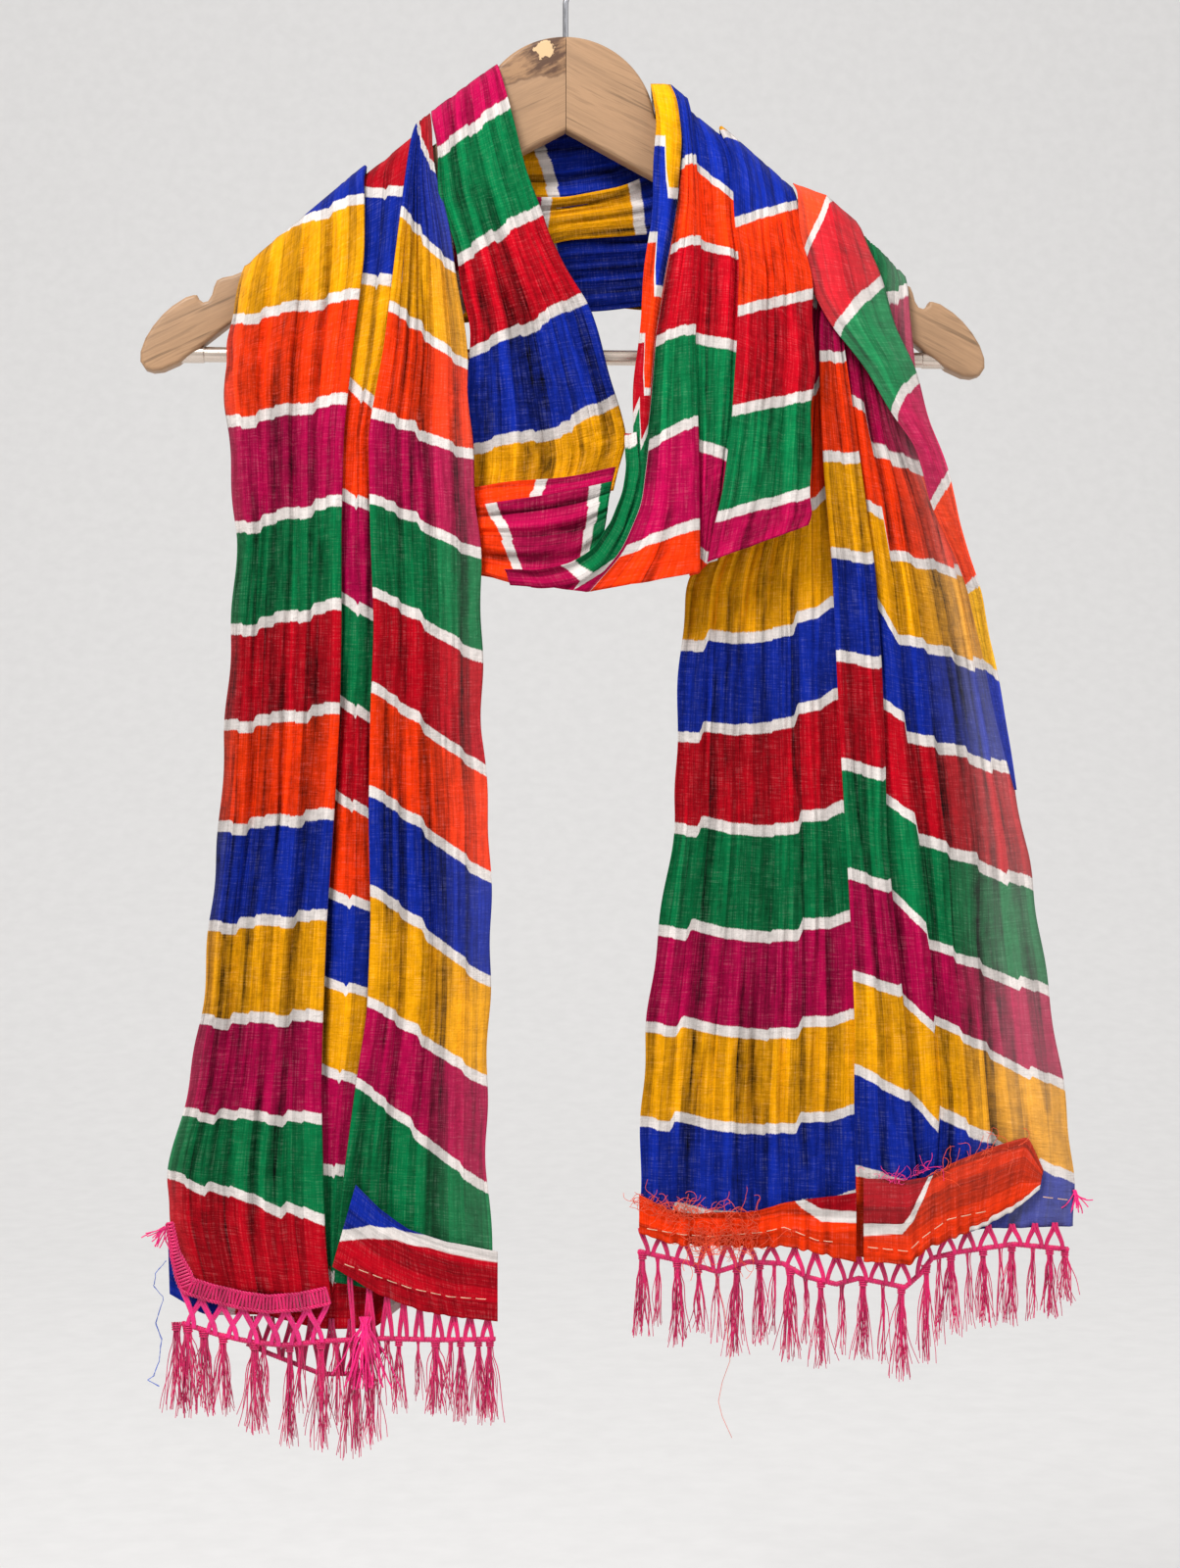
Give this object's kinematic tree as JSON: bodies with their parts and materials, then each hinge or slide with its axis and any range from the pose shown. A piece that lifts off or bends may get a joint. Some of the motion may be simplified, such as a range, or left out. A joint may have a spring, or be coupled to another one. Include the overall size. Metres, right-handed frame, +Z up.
{
  "type": "stole on a hanger",
  "caption": "Long crinkled stole with broad colour bands, wound once round the neck of a wooden hanger, both fringed tails hanging in front.",
  "frame": {"origin": "the hook's bearing point, at the top of the inside of its bend, where it hangs on a rail", "axes": "+Z up, -Y towards the viewer (the front), +X to the viewer's right along the hanger"},
  "size_m": [0.4871, 0.0881, 0.8084],
  "materials": {
    "cloth": "crinkled silky cotton in broad blocks of colour parted by white lines",
    "trim": "twisted pink rayon thread, woven tape and chain cord",
    "wood": "pale varnished hardwood",
    "bar": "shiny film on a round bar",
    "steel": "polished steel wire"
  },
  "bodies": {
    "root": {"hanger_left": "wood", "hanger_right": "wood", "hanger_bar": "bar", "hook": "steel", "tail_left": "cloth", "tail_right": "cloth", "loop_right": "cloth", "loop_left": "cloth", "loop_bottom": "cloth", "rolled_edge": "cloth", "shoulder_fold": "cloth", "wrap_inner": "cloth", "wrap_outer": "cloth", "hem_left": "cloth", "hem_right": "cloth", "hem_flap": "cloth", "tape_left": "trim", "fringe_left": "trim", "fringe_right": "trim"}
  },
  "joints": []
}
